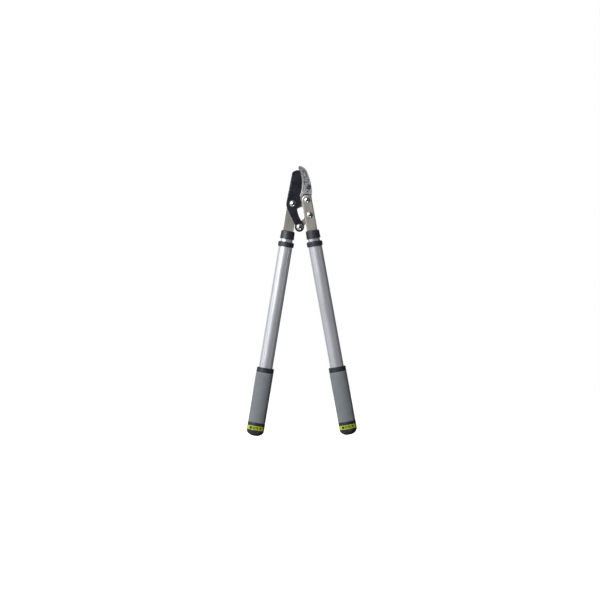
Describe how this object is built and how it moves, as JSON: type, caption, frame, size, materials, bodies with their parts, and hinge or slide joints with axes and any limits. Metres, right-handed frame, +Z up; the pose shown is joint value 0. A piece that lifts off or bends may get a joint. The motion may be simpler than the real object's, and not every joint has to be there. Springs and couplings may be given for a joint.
{
  "type": "bypass loppers",
  "caption": "Telescopic bypass loppers with a compound linkage: coated blade, cast hook, oval sliding handles with foam grips and round end caps.",
  "frame": {"origin": "where a wall peg holds the tool: the lowest point of the blade's tail, between the handles, on the tool's middle plane", "axes": "+Z up to the jaws, +X to the right seen from the front, -Y to the front, where the bolts' domed heads are"},
  "size_m": [0.2646, 0.0313, 0.6485],
  "materials": {
    "grey_bar": "warm grey satin coat",
    "cast_hook": "cast steel, ground along the working edge",
    "black_blade": "low-friction blue-black coat",
    "chrome": "polished",
    "dark_steel": "blackened",
    "plain_steel": "zinc plated",
    "spring_steel": "bright",
    "nylon": "natural nylon",
    "bright_tube": "bright drawn",
    "silver_tube": "silver anodised",
    "grey_foam": "closed-cell foam",
    "lime_band": "printed film, plain pattern",
    "black_plastic": "fine grain"
  },
  "bodies": {
    "head": {"frame_plate": "grey_bar", "hook_jaw": "cast_hook", "hook_screw": "dark_steel", "hook_screw_washer": "plain_steel", "hook_screw_nut": "plain_steel", "hook_dowel": "dark_steel", "blade_pivot_bolt": "chrome", "blade_pivot_washer": "plain_steel", "blade_pivot_nut_washer": "plain_steel", "blade_pivot_nut": "plain_steel", "handle_pivot_bolt": "chrome", "handle_pivot_washer": "plain_steel", "handle_pivot_nut_washer": "plain_steel", "handle_pivot_nut": "plain_steel", "left_ferrule": "black_plastic", "left_tang_plug": "nylon", "left_tang_pins": "plain_steel", "left_inner_tube": "bright_tube", "left_guide_bush": "nylon", "left_lock_spring": "spring_steel"},
    "blade": {"cutting_blade": "black_blade", "lower_link_bolt": "chrome", "lower_link_washer": "plain_steel", "lower_link_nut_washer": "plain_steel", "lower_link_nut": "plain_steel"},
    "link": {"link_plate": "grey_bar"},
    "right_handle": {"right_bar": "grey_bar", "upper_link_bolt": "chrome", "upper_link_washer": "plain_steel", "upper_link_nut_washer": "plain_steel", "upper_link_nut": "plain_steel", "right_ferrule": "black_plastic", "right_tang_plug": "nylon", "right_tang_pins": "plain_steel", "right_inner_tube": "bright_tube", "right_guide_bush": "nylon", "right_lock_spring": "spring_steel"},
    "left_extension": {"left_collar": "black_plastic", "left_outer_tube": "silver_tube", "left_grip_collar": "black_plastic", "left_foam_grip": "grey_foam", "left_end_cap": "black_plastic", "left_label_band": "lime_band"},
    "right_extension": {"right_collar": "black_plastic", "right_outer_tube": "silver_tube", "right_grip_collar": "black_plastic", "right_foam_grip": "grey_foam", "right_end_cap": "black_plastic", "right_label_band": "lime_band"},
    "left_button": {"left_lock_button": "spring_steel"},
    "right_button": {"right_lock_button": "spring_steel"}
  },
  "joints": [
    {"name": "handle_open", "type": "hinge", "parent": "head", "child": "right_handle", "pos_m": [0.0175, 0, 0.0761], "axis": [0, -1, 0], "range_deg": [0, 60]},
    {"name": "blade_open", "type": "hinge", "parent": "head", "child": "blade", "pos_m": [-0.0162, 0, 0.0675], "axis": [0, -1, 0], "range_deg": [0, 37.5]},
    {"name": "link_swing", "type": "hinge", "parent": "right_handle", "child": "link", "pos_m": [0.02398, 0, 0.04038], "axis": [0, -1, 0], "range_deg": [-56.5, 0]},
    {"name": "left_extend", "type": "slide", "parent": "head", "child": "left_extension", "axis": [-0.1628, 0, -0.9867], "range_m": [0, 0.27]},
    {"name": "right_extend", "type": "slide", "parent": "right_handle", "child": "right_extension", "axis": [0.1785, 0, -0.9839], "range_m": [0, 0.27]},
    {"name": "left_lock_push", "type": "slide", "parent": "head", "child": "left_button", "axis": [0, -1, 0], "range_m": [0, 0.0036], "stiffness_N_per_m": 2500, "springref_m": -0.003, "deforming": ["left_lock_spring"]},
    {"name": "right_lock_push", "type": "slide", "parent": "right_handle", "child": "right_button", "axis": [0, -1, 0], "range_m": [0, 0.0036], "stiffness_N_per_m": 2500, "springref_m": -0.003, "deforming": ["right_lock_spring"]}
  ],
  "couplings": [
    {"joint": "blade_open", "follows": "handle_open", "ratio": 0.6225},
    {"joint": "link_swing", "follows": "handle_open", "ratio": -0.937}
  ]
}
